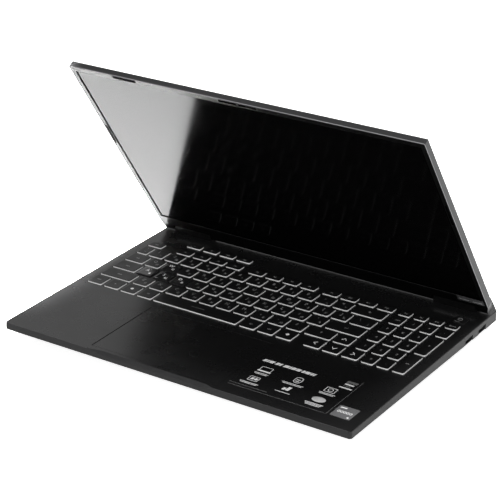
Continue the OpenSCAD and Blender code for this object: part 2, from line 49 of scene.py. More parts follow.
# %% [markdown]
# ## Camera and studio
# The object stands on a plain pale floor, in front of nothing. A long lens from the front
# right, a little above the open lid, keeps the base's edges nearly parallel. The camera
# comes first, so that every later step can be rendered and judged from the same place. Its
# place is in metres, its aim is a direction and its roll is in radians.

# %% Camera
camera_place = Vector((0.8080, -1.1959, 0.7465))
camera_aim = Vector((-0.5105, 0.7501, -0.4204))
camera_roll = -0.0153
lens_mm = 131.2

bpy.ops.object.select_all(action="DESELECT")
bpy.ops.object.camera_add(location=camera_place)
camera = bpy.context.object
camera.rotation_mode = "QUATERNION"
camera.rotation_quaternion = (camera_aim.to_track_quat("-Z", "Y")
                              @ Quaternion((0, 0, 1), camera_roll))
camera.data.lens = lens_mm
camera.data.sensor_width = 36
bpy.context.scene.camera = camera
bpy.context.scene.view_settings.view_transform = "Standard"
print("camera at", tuple(round(v, 3) for v in camera.location))

# %% [markdown]
# The floor is one large plane that glows a little. It is a stage piece, so it doesn't count
# as part of the object. Dark plastics show mostly what they reflect, so what lies around
# them matters more than the lamps: the world is white round the horizon and nearly black
# overhead. `left_box` is a narrow beam on the floor left of the base, which the screen
# mirrors. `front_box` and `rear_box` give the edges and the deck their soft sheen.

# %% Floor, world and lamps
floor_size = 60
floor_glow = 0.75
sky_white = 0.75
sky_dark = 0.03
white_until = 0.46
dark_from = 0.72


def glow(material, strength):
    """Gives a material a white glow of its own."""
    surface = material.node_tree.nodes["Principled BSDF"]
    surface.inputs["Emission Color"].default_value = (1, 1, 1, 1)
    surface.inputs["Emission Strength"].default_value = strength


def stage_material(name, colour):
    """A matt material without any sheen."""
    material = bpy.data.materials.new(name)
    material.use_nodes = True
    surface = material.node_tree.nodes["Principled BSDF"]
    surface.inputs["Base Color"].default_value = (*colour, 1)
    surface.inputs["Roughness"].default_value = 0.9
    surface.inputs["Specular IOR Level"].default_value = 0.0
    return material


bpy.ops.mesh.primitive_plane_add(size=floor_size)
floor = bpy.context.object
floor.name = "floor"
pale = stage_material("pale_floor", (0.9, 0.9, 0.9))
glow(pale, floor_glow)
floor.data.materials.append(pale)

world = bpy.data.worlds.new("studio")
world.use_nodes = True
sky = world.node_tree
sky_place = sky.nodes.new("ShaderNodeTexCoord")
sky_axes = sky.nodes.new("ShaderNodeSeparateXYZ")
sky_fade = sky.nodes.new("ShaderNodeMapRange")
sky_fade.inputs["From Min"].default_value = white_until
sky_fade.inputs["From Max"].default_value = dark_from
sky_fade.inputs["To Min"].default_value = sky_white
sky_fade.inputs["To Max"].default_value = sky_dark
sky.links.new(sky_place.outputs["Generated"], sky_axes.inputs["Vector"])
sky.links.new(sky_axes.outputs["Z"], sky_fade.inputs["Value"])
sky.links.new(sky_fade.outputs["Result"], sky.nodes["Background"].inputs["Strength"])
sky.nodes["Background"].inputs["Color"].default_value = (1, 1, 1, 1)
bpy.context.scene.world = world


def softbox(name, place, aim, size, power, spread):
    """A square area lamp at place, turned to face aim, its beam spread degrees wide."""
    bpy.ops.object.light_add(type="AREA", location=place)
    lamp = bpy.context.object
    lamp.name = name
    lamp.data.shape = "SQUARE"
    lamp.data.size = size
    lamp.data.energy = power
    lamp.data.spread = math.radians(spread)
    lamp.rotation_mode = "QUATERNION"
    lamp.rotation_quaternion = (Vector(aim) - Vector(place)).to_track_quat("-Z", "Y")
    return lamp


softbox("left_box", (-0.33, 0.05, 0.5), (-0.33, 0.05, 0.0), size=0.3, power=5.2, spread=8)
softbox("front_box", (1.2, -1.6, 0.7), (0.0, 0.0, 0.0), size=0.8, power=8.5, spread=120)
softbox("rear_box", (0.1, 0.9, 1.7), (0.0, 0.0, 0.0), size=0.9, power=14, spread=100)
print("studio ready")

# %% [markdown]
# ## Materials
# Most of this object is black plastic, and what tells one black from another is how it
# breaks up a reflection. Each finish therefore gets its own roughness, its own fine grain
# as bump, and a slow mottle that keeps a broad reflection from looking computed. Patterns
# read Object coordinates: the objects stay at the origin, so the grain is in metres.

# %% A plain finish
def finish(name, colour, roughness, ior=1.5, metallic=0.0):
    """A Principled material with plain values on its sockets."""
    material = bpy.data.materials.new(name)
    material.use_nodes = True
    surface = material.node_tree.nodes["Principled BSDF"]
    surface.inputs["Base Color"].default_value = (*colour, 1)
    surface.inputs["Roughness"].default_value = roughness
    surface.inputs["IOR"].default_value = ior
    surface.inputs["Metallic"].default_value = metallic
    return material


def grey(value):
    """A grey with a trace of blue."""
    return (value, value, value * 1.03)


print("plain finish ready")

# %% [markdown]
# No real surface has one even colour, so each finish is broken up by noise. A noise between
# 0 and 1 is mostly near its middle, so only that part of its range is spread over the two
# values. A `stretch` below 1 along an axis draws the pattern out along it, into streaks.

# %% Grain, mottle and tint
grain_strength = 0.6
mottle_reach = (0.3, 0.7)
tint_reach = (0.35, 0.65)


def place_noise(material, scale, detail, stretch):
    """A noise over Object coordinates, with scale in cells per metre."""
    tree = material.node_tree
    place = tree.nodes.new("ShaderNodeTexCoord")
    turn = tree.nodes.new("ShaderNodeMapping")
    turn.inputs["Scale"].default_value = stretch
    noise = tree.nodes.new("ShaderNodeTexNoise")
    noise.inputs["Scale"].default_value = scale
    noise.inputs["Detail"].default_value = detail
    tree.links.new(place.outputs["Object"], turn.inputs["Vector"])
    tree.links.new(turn.outputs["Vector"], noise.inputs["Vector"])
    return noise


def add_grain(material, scale, height, stretch=(1, 1, 1)):
    """Fine moulded or sprayed grain, height in metres, as bump."""
    tree = material.node_tree
    noise = place_noise(material, scale, 3.0, stretch)
    bump = tree.nodes.new("ShaderNodeBump")
    bump.inputs["Distance"].default_value = height
    bump.inputs["Strength"].default_value = grain_strength
    tree.links.new(noise.outputs["Fac"], bump.inputs["Height"])
    surface = tree.nodes["Principled BSDF"]
    tree.links.new(bump.outputs["Normal"], surface.inputs["Normal"])


def add_mottle(material, scale, low, high, stretch=(1, 1, 1)):
    """A slow change of roughness between low and high across the surface."""
    tree = material.node_tree
    noise = place_noise(material, scale, 4.0, stretch)
    spread = tree.nodes.new("ShaderNodeMapRange")
    spread.inputs["From Min"].default_value = mottle_reach[0]
    spread.inputs["From Max"].default_value = mottle_reach[1]
    spread.inputs["To Min"].default_value = low
    spread.inputs["To Max"].default_value = high
    tree.links.new(noise.outputs["Fac"], spread.inputs["Value"])
    tree.links.new(spread.outputs["Result"],
                   tree.nodes["Principled BSDF"].inputs["Roughness"])


def add_tint(material, scale, dark, light, stretch=(1, 1, 1)):
    """A slow change of colour between dark and light."""
    tree = material.node_tree
    noise = place_noise(material, scale, 4.0, stretch)
    ramp = tree.nodes.new("ShaderNodeValToRGB")
    ramp.color_ramp.elements[0].position = tint_reach[0]
    ramp.color_ramp.elements[0].color = (*dark, 1)
    ramp.color_ramp.elements[1].position = tint_reach[1]
    ramp.color_ramp.elements[1].color = (*light, 1)
    tree.links.new(noise.outputs["Fac"], ramp.inputs["Fac"])
    tree.links.new(ramp.outputs["Color"],
                   tree.nodes["Principled BSDF"].inputs["Base Color"])


print("surface patterns ready")

# %% [markdown]
# The deck is satin black, the walls and the bottom cover are duller, and the lid is a brushed
# grey with streaks from side to side. Even pure black plastic has a sheen. Where the real
# piece shows hardly any, as on the bezel, gasket, hinges and rubber, the index of
# refraction is set close to 1. The screen has a low index too, but it is smooth, so it
# still mirrors what stands before it.

# %% Casing finishes
deck_black = finish("deck_black", grey(0.012), 0.28)
add_tint(deck_black, 60, grey(0.0115), grey(0.0125))
add_mottle(deck_black, 45, 0.26, 0.3)
add_grain(deck_black, 2600, 0.000006)

cover_black = finish("cover_black", grey(0.006), 0.5, ior=1.25)
add_tint(cover_black, 80, grey(0.0055), grey(0.0065))
add_mottle(cover_black, 60, 0.46, 0.54)
add_grain(cover_black, 1900, 0.00005)

wall_black = finish("wall_black", grey(0.009), 0.45, ior=1.3)
add_tint(wall_black, 80, grey(0.0085), grey(0.0095))
add_grain(wall_black, 2600, 0.000006)

# A pale grey for the bars along the deck's front edge. Its lightness is a painted highlight.
edge_highlight_grey = finish("edge_highlight_grey", grey(0.06), 0.4, ior=1.4)
add_tint(edge_highlight_grey, 80, grey(0.055), grey(0.065))

scoop_grey = finish("scoop_grey", grey(0.03), 0.45, ior=1.4)
add_tint(scoop_grey, 80, grey(0.028), grey(0.032))

lid_grey = finish("lid_grey", grey(0.026), 0.45, ior=1.35)
add_tint(lid_grey, 30, grey(0.024), grey(0.028), stretch=(0.3, 1, 1))
add_mottle(lid_grey, 700, 0.42, 0.48, stretch=(0.02, 1, 1))
add_grain(lid_grey, 2400, 0.00002, stretch=(0.05, 1, 1))

# A pale grey. On the lid's front rim its lightness is a painted highlight. On the indicator
# cells it is the colour of a printed bar.
rim_highlight_and_mark_grey = finish("rim_highlight_and_mark_grey", grey(0.16), 0.3)
add_tint(rim_highlight_and_mark_grey, 40, grey(0.15), grey(0.17), stretch=(0.3, 1, 1))
add_mottle(rim_highlight_and_mark_grey, 500, 0.29, 0.35, stretch=(0.02, 1, 1))

bezel_black = finish("bezel_black", grey(0.001), 0.36, ior=1.2)
add_tint(bezel_black, 90, grey(0.0008), grey(0.0013))
add_mottle(bezel_black, 80, 0.34, 0.38)

screen_black = finish("screen_black", grey(0.0008), 0.1, ior=1.12)
add_mottle(screen_black, 20, 0.095, 0.105)

gasket_black = finish("gasket_black", grey(0.0002), 0.7, ior=1.02)
add_tint(gasket_black, 300, grey(0.0001), grey(0.0004))

hinge_black = finish("hinge_black", grey(0.002), 0.55, ior=1.15)
add_tint(hinge_black, 150, grey(0.0015), grey(0.003))
add_grain(hinge_black, 1500, 0.00003)
print("casing finishes made")

# %% [markdown]
# Key caps are moulded in milky white plastic, painted black on top, and the legends are
# left clear of paint. From the front their bright side walls draw a line under each key.

# %% Keyboard finishes
# Strength of the glow painted on white ink and legends. Ink gives no such light.
painted_ink_glow = 0.2

key_black = finish("key_black", grey(0.010), 0.42)
add_tint(key_black, 500, grey(0.009), grey(0.012))
add_mottle(key_black, 120, 0.38, 0.46)
add_grain(key_black, 3000, 0.00002)

key_white = finish("key_white", (0.9, 0.9, 0.9), 0.4)
add_tint(key_white, 200, (0.87, 0.87, 0.87), (0.93, 0.93, 0.93))
add_grain(key_white, 2000, 0.00001)

legend_white = finish("legend_white", (0.36, 0.36, 0.36), 0.4)
add_tint(legend_white, 400, (0.33, 0.33, 0.33), (0.39, 0.39, 0.39))

bright_legend = finish("bright_legend", (0.9, 0.9, 0.9), 0.35)
add_tint(bright_legend, 400, (0.85, 0.85, 0.85), (0.93, 0.93, 0.93))
# The glow is painted light that brightens these legends.
glow(bright_legend, painted_ink_glow)

smoky_clear = finish("smoky_clear", grey(0.02), 0.16)
add_tint(smoky_clear, 150, grey(0.018), grey(0.024))
add_mottle(smoky_clear, 90, 0.13, 0.2)
print("keyboard finishes made")

# %% [markdown]
# The small parts are rubber feet, printed films, bare metals and the boards inside. A metal
# gets its look from a rough, streaky reflection more than from its colour. White ink is given
# a little glow, a painted light that keeps small print bright beside so much black.

# %% Small finishes: rubber, films, metals
rubber = finish("rubber", grey(0.001), 0.8, ior=1.04)
add_tint(rubber, 200, grey(0.0006), grey(0.0015))
add_grain(rubber, 1500, 0.00006)

label_film = finish("label_film", grey(0.012), 0.27)
add_mottle(label_film, 70, 0.26, 0.28)
add_tint(label_film, 50, grey(0.0115), grey(0.0125))

label_ink = finish("label_ink", (0.9, 0.9, 0.9), 0.4)
add_tint(label_ink, 600, (0.87, 0.87, 0.87), (0.93, 0.93, 0.93))
# The glow is painted light that brightens the white print.
glow(label_ink, painted_ink_glow)

line_ink = finish("line_ink", (0.24, 0.24, 0.24), 0.4)
add_tint(line_ink, 600, (0.22, 0.22, 0.22), (0.26, 0.26, 0.26))

# Silver print made a pale non-metal, so its lightness is partly a painted highlight of the
# silver.
silver_ink_and_highlight = finish("silver_ink_and_highlight", (0.85, 0.85, 0.85), 0.25)
add_tint(silver_ink_and_highlight, 300, (0.78, 0.78, 0.78), (0.92, 0.92, 0.92))

badge_foil = finish("badge_foil", grey(0.21), 0.35, metallic=0.1)
add_tint(badge_foil, 120, grey(0.2), grey(0.23))
add_mottle(badge_foil, 300, 0.3, 0.42)

bright_metal = finish("bright_metal", (0.62, 0.62, 0.64), 0.28, metallic=1.0)
add_mottle(bright_metal, 900, 0.22, 0.36, stretch=(0.1, 1, 1))

dark_steel = finish("dark_steel", (0.22, 0.22, 0.23), 0.35, metallic=1.0)
add_mottle(dark_steel, 700, 0.3, 0.45)
add_grain(dark_steel, 1800, 0.00003)

gold_contact = finish("gold_contact", (0.83, 0.6, 0.27), 0.25, metallic=1.0)
add_mottle(gold_contact, 900, 0.2, 0.32)

copper = finish("copper", (0.72, 0.36, 0.2), 0.3, metallic=1.0)
add_tint(copper, 60, (0.62, 0.3, 0.17), (0.78, 0.42, 0.25))
add_mottle(copper, 200, 0.25, 0.42)

fin_metal = finish("fin_metal", (0.6, 0.6, 0.62), 0.35, metallic=1.0)
add_mottle(fin_metal, 400, 0.3, 0.45)

board_green = finish("board_green", (0.02, 0.09, 0.05), 0.4)
add_tint(board_green, 300, (0.015, 0.07, 0.04), (0.03, 0.12, 0.07))
add_grain(board_green, 900, 0.0001)

inner_black = finish("inner_black", grey(0.01), 0.5)
add_tint(inner_black, 120, grey(0.008), grey(0.013))
add_grain(inner_black, 1200, 0.00006)

light_bar = finish("light_bar", grey(0.05), 0.25)
add_tint(light_bar, 300, grey(0.04), grey(0.06))
print("small finishes made")

# %% [markdown]
# ## The CAD nodes that stay
# A node whose shape is right keeps its mesh and only gets a finish. It is assigned to the
# object's material slots, which leaves the mesh untouched.

# %% Finishes on the carried-over nodes
carried = {
    deck_black: ["keyboard_frame", "touchpad"],
    cover_black: ["bottom_cover", "rear_grilles"],
    hinge_black: ["hinge_cap_left", "hinge_cap_right"],
    lid_grey: ["lid_cover"],
    screen_black: ["display_panel", "camera_window"],
    rubber: ["lid_bumpers", "front_feet", "rear_foot"],
    label_film: ["spec_label"],
    badge_foil: ["processor_badge"],
    bright_metal: ["type_c_sockets", "video_socket", "speakers"],
    inner_black: ["network_socket", "power_inlet", "audio_socket", "fan_housing_left",
                  "fan_housing_right", "fan_rotor_left", "fan_rotor_right", "battery",
                  "display_cable"],
    dark_steel: ["type_a_sockets", "case_screws", "hinge_bracket_left", "hinge_bracket_right",
                 "hinge_pin_left", "hinge_pin_right", "hinge_leaves"],
    fin_metal: ["cooling_fins", "keyboard_plate"],
    copper: ["cold_plates", "heat_pipes", "wifi_antennas"],
    board_green: ["mainboard", "storage_card", "memory_modules", "wireless_card",
                  "camera_module"],
    light_bar: ["indicator_strip"],
}


def dress(node, material):
    """Gives a CAD node one material, through its object's slots."""
    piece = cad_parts[node]
    if not piece.material_slots:
        piece.data.materials.append(None)
    for holder in piece.material_slots:
        holder.link = "OBJECT"
        holder.material = material


for material, names in carried.items():
    for name in names:
        dress(name, material)
print("dressed", sum(len(names) for names in carried.values()), "CAD nodes")

# %% [markdown]
# ## Modelling helpers
# Every new piece starts as a primitive at its size and place, and is shaped in edit mode.
# The operators act on whatever is selected, so these helpers first clear the selection and
# then pick faces or edges by a test on their place or normal.

# %% Selection and editing
weld_reach = 1e-6
flat_normal = 0.99


def only(piece):
    """Makes piece the one selected and active object."""
    bpy.ops.object.select_all(action="DESELECT")
    piece.select_set(True)
    bpy.context.view_layer.objects.active = piece


def pick(piece, kind, test):
    """In edit mode, selects the faces or edges for which test is true."""
    bpy.ops.mesh.select_all(action="DESELECT")
    bpy.ops.mesh.select_mode(type="FACE" if kind == "faces" else "EDGE")
    work = bmesh.from_edit_mesh(piece.data)
    work.normal_update()
    for part in getattr(work, kind):
        part.select = test(part)
    work.select_flush_mode()
    bmesh.update_edit_mesh(piece.data)


def upright(edge):
    """Whether an edge runs straight up."""
    run = edge.verts[0].co - edge.verts[1].co
    return abs(run.x) < weld_reach and abs(run.y) < weld_reach


def facing_up(face):
    """Whether a face looks straight up."""
    return face.normal.z > flat_normal


def block(name, low, high):
    """A box between two corners, its place in its mesh."""
    middle = [(a + b) / 2 for a, b in zip(low, high)]
    bpy.ops.object.select_all(action="DESELECT")
    bpy.ops.mesh.primitive_cube_add(size=1, location=middle)
    piece = bpy.context.object
    piece.name = name
    piece.scale = [b - a for a, b in zip(low, high)]
    bpy.ops.object.transform_apply(location=True, rotation=True, scale=True)
    return piece


def bevel_picked(width, segments):
    """Rounds the picked edges."""
    bpy.ops.mesh.bevel(offset=width, offset_type="OFFSET", segments=segments,
                       profile=0.5, affect="EDGES")


print("editing helpers ready")

# %% [markdown]
# A finished piece may be several joined ones. It is smoothed, set to ride on the body that
# carries it, and stands for the CAD nodes whose place it takes. A part that needs several
# coats on one CAD shape starts as a copy of that mesh.

# %% Joining, settling and copying
smooth_angle = 35


def join(pieces, name):
    """Joins pieces into the first one."""
    bpy.ops.object.select_all(action="DESELECT")
    for piece in pieces:
        piece.select_set(True)
    bpy.context.view_layer.objects.active = pieces[0]
    if len(pieces) > 1:
        bpy.ops.object.join()
    joined = bpy.context.object
    joined.name = name
    return joined


def settle(piece, body, slot, *nodes, smooth_deg=smooth_angle):
    """Smooths a finished piece, sets it on its body and hides the nodes it stands for.
    A copied CAD shape keeps its flat faces, so it is settled with smooth_deg=0."""
    only(piece)
    if smooth_deg:
        bpy.ops.object.shade_smooth_by_angle(angle=math.radians(smooth_deg))
    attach(piece, body)
    if nodes:
        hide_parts(*nodes)
    return piece


def copy_shape(node, name):
    """A new piece with the shape of a CAD node, for a part that needs several coats."""
    bpy.ops.object.select_all(action="DESELECT")
    bpy.ops.mesh.primitive_plane_add(size=1)
    piece = bpy.context.object
    piece.name = name
    work = bmesh.new()
    work.from_mesh(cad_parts[node].data)
    bmesh.ops.remove_doubles(work, verts=work.verts, dist=weld_reach)
    work.to_mesh(piece.data)
    work.free()
    piece.data.materials.clear()
    return piece


print("settling helpers ready")

# %% [markdown]
# The keys take their places from the CAD model. A node of keys holds many separate solids,
# and each is found by walking from one of its corners to the next until none is left.

# %% Measuring the solids of a node
def solids_in(node):
    """The lowest and highest corner of each separate solid of a CAD node."""
    work = bmesh.new()
    work.from_mesh(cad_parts[node].data)
    bmesh.ops.remove_doubles(work, verts=work.verts, dist=weld_reach)
    left = set(work.verts)
    boxes = []
    while left:
        reach = [left.pop()]
        group = []
        while reach:
            vert = reach.pop()
            group.append(vert.co.copy())
            for edge in vert.link_edges:
                other = edge.other_vert(vert)
                if other in left:
                    left.remove(other)
                    reach.append(other)
        low = Vector([min(p[i] for p in group) for i in range(3)])
        high = Vector([max(p[i] for p in group) for i in range(3)])
        boxes.append((low, high))
    work.free()
    return boxes


def by_rows(boxes):
    """Boxes from front to rear, and from left to right within a row."""
    row_step = 5 * MM
    return sorted(boxes, key=lambda b: (round(b[0].y / row_step), b[0].x))


print("key rows found:", {n: len(solids_in(n)) for n in ("tab_row_keys", "arrow_keys")})

# %% [markdown]
# The top case has a satin top, painted walls and a paler scoop in its front edge, so its
# copy carries three coats, told apart by which way a face looks and where it is.

# %% Top case
scoop_y = -130 * MM
scoop_tilt = 0.2
deck = copy_shape("top_case", "top_case_coated")
for coat in (deck_black, wall_black, scoop_grey):
    deck.data.materials.append(coat)
for face in deck.data.polygons:
    in_scoop = scoop_tilt < face.normal.z < flat_normal and face.center.y < scoop_y
    face.material_index = 0 if facing_up(face) else 2 if in_scoop else 1
settle(deck, "base", "deck_plastic", "top_case", smooth_deg=0)
print("deck faces:", sum(facing_up(face) for face in deck.data.polygons))

# %% [markdown]
# ## Key caps
# A real cap is a thin-walled white box with rounded corners and a shallow dish in its
# painted top. Its inside never shows, so here it is a block with the same outer shape. One
# blank is modelled for each size of key and copied to every key of that size. The top
# narrows by a fraction of a millimetre, which lets its edge catch the light.

# %% A blank key cap
cap_corner = 1.8 * MM
cap_lip = 0.12 * MM
cap_taper = 0.2 * MM
cap_dish = 0.08 * MM
dish_margin = 1.5 * MM
paint_tilt = 0.3
blanks = {}


def key_blank(width, depth, height, materials):
    """A key cap standing on z = 0 round the origin."""
    cap = block("cap_blank", (-width / 2, -depth / 2, 0),
                (width / 2, depth / 2, height - cap_lip))
    bpy.ops.object.mode_set(mode="EDIT")
    pick(cap, "edges", upright)
    bevel_picked(cap_corner, 4)
    pick(cap, "faces", facing_up)
    bpy.ops.mesh.extrude_region_move(TRANSFORM_OT_translate={"value": (0, 0, cap_lip)})
    bpy.ops.transform.resize(value=(1 - 2 * cap_taper / width, 1 - 2 * cap_taper / depth, 1))
    bpy.ops.mesh.inset(thickness=dish_margin)
    bpy.ops.transform.translate(value=(0, 0, -cap_dish))
    bpy.ops.object.mode_set(mode="OBJECT")
    for material in materials:
        cap.data.materials.append(material)
    for face in cap.data.polygons:
        face.material_index = 0 if face.normal.z > paint_tilt else 1
    return cap


def key_cap(low, high, materials):
    """A cap that fills a key's CAD box, copied from the blank of its size."""
    size = high - low
    kind = (round(size.x * 1e4), round(size.y * 1e4), materials[0].name)
    if kind not in blanks:
        blanks[kind] = key_blank(*size, materials)
    cap = blanks[kind].copy()
    cap.data = blanks[kind].data.copy()
    cap.data.transform(Matrix.Translation(((low.x + high.x) / 2, (low.y + high.y) / 2,
                                           low.z)))
    bpy.context.scene.collection.objects.link(cap)
    return cap


# %% [markdown]
# Legends are set in Blender's own font, made a mesh, and let into the cap's top, so that
# they stand about a hundredth of a millimetre above its rim, like print. The arrow keys
# have chevrons, each made of two thin strokes.

# %% Legends
legend_rise = 0.015 * MM
legend_sink = 0.12 * MM
word_size = 2.8 * MM
sign_size = 5.2 * MM
first_inset = Vector((5.9, -5.8)) * MM
second_inset = Vector((-4.6, 5.2)) * MM
stroke_lean = 38
stroke_length = 3.8 * MM
stroke_half = 0.3 * MM
stroke_tip = -1.5 * MM


def mark(text, size, x, y, top, material, turn=0):
    """One line of text, centred on x and y and turned in degrees, just above top."""
    bpy.ops.object.select_all(action="DESELECT")
    bpy.ops.object.text_add()
    words = bpy.context.object
    words.data.body = text
    words.data.size = size
    words.data.align_x = "CENTER"
    words.data.align_y = "CENTER"
    words.data.resolution_u = 2
    words.data.extrude = (legend_rise + legend_sink) / 2
    bpy.ops.object.convert(target="MESH")
    piece = bpy.context.object
    piece.data.materials.clear()
    piece.data.materials.append(material)
    lift = top + (legend_rise - legend_sink) / 2
    piece.data.transform(Matrix.Translation((x, y, lift))
                         @ Matrix.Rotation(math.radians(turn), 4, "Z"))
    return piece


def chevron(x, y, top, material, turn):
    """An arrow sign of two thin strokes, pointing left before it is turned in degrees."""
    strokes = []
    for lean in (stroke_lean, -stroke_lean):
        stroke = block("stroke", (0, -stroke_half, -legend_sink),
                       (stroke_length, stroke_half, legend_rise))
        stroke.data.transform(Matrix.Translation((x, y, top))
                              @ Matrix.Rotation(math.radians(turn), 4, "Z")
                              @ Matrix.Translation((stroke_tip, 0, 0))
                              @ Matrix.Rotation(math.radians(lean), 4, "Z"))
        stroke.data.materials.append(material)
        strokes.append(stroke)
    return strokes


def cap_marks(cap_box, words, material):
    """The legends of one key: a pair of signs from upper left to lower right, a short
    word in the middle, or for a whole number an arrow turned by that many degrees."""
    low, high = cap_box
    middle = (low + high) / 2
    if isinstance(words, int):
        return chevron(middle.x, middle.y, high.z, material, words)
    if isinstance(words, str):
        size = sign_size * 0.8 if len(words) == 1 else word_size
        return [mark(words, size, middle.x, middle.y, high.z, material)]
    first, second = words
    return [mark(first, sign_size, low.x + first_inset.x, high.y + first_inset.y, high.z,
                 material),
            mark(second, sign_size * 0.7, high.x + second_inset.x, low.y + second_inset.y,
                 high.z, material)]


# %% [markdown]
# Each CAD node of keys becomes one piece: its caps and their legends, joined. The lists
# give the legends in the order in which `by_rows` returns the keys.

# %% Legend lists
legends = {
    "escape_key": ["esc"],
    "function_keys": (["F%d" % n for n in range(1, 13)] + ["ins", "del", "prt", "home"]),
    "shortcut_keys": ["-", "+", "mic", "set"],
    "number_row_keys": [("`", "~")] + list(zip("1234567890-=", "!@#$%^&*()_+")) + ["←"],
    "tab_row_keys": ["tab"] + list(zip("QERTYUIOP[]", "ЙУКЕНГШЩЗХЪ")) + [("\\", "|")],
    "caps_row_keys": ["caps"] + list(zip("FGHJKL;'", "АПРОЛДЖЭ")),
    "shift_row_keys": ["shift"] + list(zip("ZXCVBNM,./", "ЯЧСМИТЬБЮ.")) + ["↑"],
    "control_row_keys": ["ctrl", "fn", "●", "alt", "alt", "ctrl", "◆"],
    "clear_keys": [("A", "Ф"), ("S", "Ы"), ("D", "В"), ("W", "Ц")],
    "space_bar": [""],
    "enter_key": ["↵"],
    "arrow_keys": [0, 90, 180, -90],
    "number_pad_keys": ["0", ".", "ent", "1", "2", "3", "4", "5", "6", "+", "7", "8", "9",
                        "num", "/", "*", "-"],
}

# %% [markdown]
# The joined piece rides on the group's own body, so it travels with its keys. The clear
# keys are smoky all over and have bright legends with a painted glow, and so do the arrows
# and two symbols.

# %% Build every key group
for node, texts in legends.items():
    boxes = by_rows(solids_in(node))
    clear = node == "clear_keys"
    coats = (smoky_clear, smoky_clear) if clear else (key_black, key_white)
    ink = bright_legend if clear else legend_white
    parts = [key_cap(*box, coats) for box in boxes]
    for box, words in zip(boxes, texts):
        if words != "":
            # These legends get the material with the painted glow.
            bright = node == "arrow_keys" or words in ("●", "◆")
            parts += cap_marks(box, words, bright_legend if bright else ink)
    settle(join(parts, node + "_caps"), node, "clear_key_plastic" if clear else "key_plastic",
           node)
    print(node, len(boxes), "keys")

# %% [markdown]
# ## Printed and inlaid marks
# Labels, rings and slots are thin outlines and bars. A bar is a flat block, and can lean
# like italic print. An outline is a block with rounded corners whose top and bottom are
# inset and bridged, so it stays a closed solid. The marks are plain shapes, not lettering.

# %% Bars and outlines
print_rise = 0.04
half_depth = 134.5
deck_top = 17.5


def on_deck(x, y, z):
    """A point given in mm from the front edge and the deck's top face."""
    return Vector((x, y - half_depth, z + deck_top)) * MM


def bar(x, y, z, lean=0.0, material=label_ink):
    """A flat block between limits in deck mm, its rear edge shifted right by lean."""
    piece = block("bar", on_deck(x[0], y[0], z[0]), on_deck(x[1], y[1], z[1]))
    if lean:
        bpy.ops.object.mode_set(mode="EDIT")
        pick(piece, "faces", lambda face: face.normal.y > flat_normal)
        bpy.ops.transform.translate(value=(lean * MM, 0, 0))
        bpy.ops.object.mode_set(mode="OBJECT")
    piece.data.materials.append(material)
    return piece


def outline(x, y, z, corner, width, material=label_ink):
    """A rounded frame of one width between limits in deck mm."""
    piece = block("outline", on_deck(x[0], y[0], z[0]), on_deck(x[1], y[1], z[1]))
    bpy.ops.object.mode_set(mode="EDIT")
    pick(piece, "edges", upright)
    bevel_picked(corner * MM, 5)
    pick(piece, "faces", lambda face: abs(face.normal.z) > flat_normal)
    bpy.ops.mesh.inset(thickness=width * MM)
    bpy.ops.mesh.bridge_edge_loops()
    bpy.ops.object.mode_set(mode="OBJECT")
    piece.data.materials.append(material)
    return piece


def disc(x, y, z, half_x, half_y, material=label_ink):
    """A flat round or oval button, its top inset by a quarter, centred in deck mm."""
    bpy.ops.object.select_all(action="DESELECT")
    middle = on_deck(x, y, (z[0] + z[1]) / 2)
    bpy.ops.mesh.primitive_cylinder_add(vertices=40, radius=1, depth=2, location=middle)
    piece = bpy.context.object
    piece.scale = (half_x * MM, half_y * MM, (z[1] - z[0]) / 2 * MM)
    bpy.ops.object.transform_apply(location=True, rotation=True, scale=True)
    bpy.ops.object.mode_set(mode="EDIT")
    pick(piece, "faces", facing_up)
    bpy.ops.mesh.inset(thickness=min(half_x, half_y) * 0.25 * MM)
    bpy.ops.object.mode_set(mode="OBJECT")
    piece.data.materials.append(material)
    return piece


print("mark helpers ready")

# %% [markdown]
# The power key is painted all over. Its ring is a light guide let into the top, with a pale
# line in front of it. The space bar carries a short pale line too.

# %% Power key
power_low, power_high = solids_in("power_button")[0]
power_top = power_high.z / MM - deck_top
ring_z = (power_top - 0.1, power_top + print_rise)
power_cap = key_cap(power_low, power_high, (key_black, key_black))
power_ring = outline((156.3, 160.9), (213.3, 217.9), ring_z, corner=2.25, width=0.5,
                     material=legend_white)
power_line = bar((155.4, 160.6), (210.3, 210.7), ring_z, material=legend_white)
settle(join([power_cap, power_ring, power_line], "power_button_cap"), "power_button",
       "key_plastic", "power_button")

space_top = solids_in("space_bar")[0][1].z / MM - deck_top
settle(bar((-55, -41), (110.8, 111.2), (space_top - 0.2, space_top - 0.02),
           material=legend_white), "space_bar", "key_plastic")

for blank in blanks.values():
    bpy.data.objects.remove(blank)
print("sizes of cap:", len(blanks))

# %% [markdown]
# The touchpad is one smooth plate. A dark joint shows along its left side, and a painted
# highlight, a paler bar, along its rear edge. The deck's front edge carries a painted
# highlight on both sides of the scoop. Each is a thin bar, let in by a tenth of a millimetre
# so that no faces coincide.

# %% Touchpad and deck edges
plate_low, plate_high = [corner / MM for corner in solids_in("touchpad")[0]]
plate_top = plate_high.z - deck_top
plate_y = (plate_low.y + half_depth, plate_high.y + half_depth)
joint_z = (plate_top - 0.1, plate_top + 0.012)
left_joint = bar((plate_low.x, plate_low.x + 0.55), plate_y, joint_z, material=gasket_black)
# The rear bar is a painted highlight in the scoop's paler grey.
rear_gap_highlight = bar((plate_low.x + 0.6, plate_high.x), (plate_y[1] - 0.35, plate_y[1]), joint_z,
                 material=scoop_grey)
settle(join([left_joint, rear_gap_highlight], "touchpad_joint_and_highlight"), "touchpad", "deck_plastic")

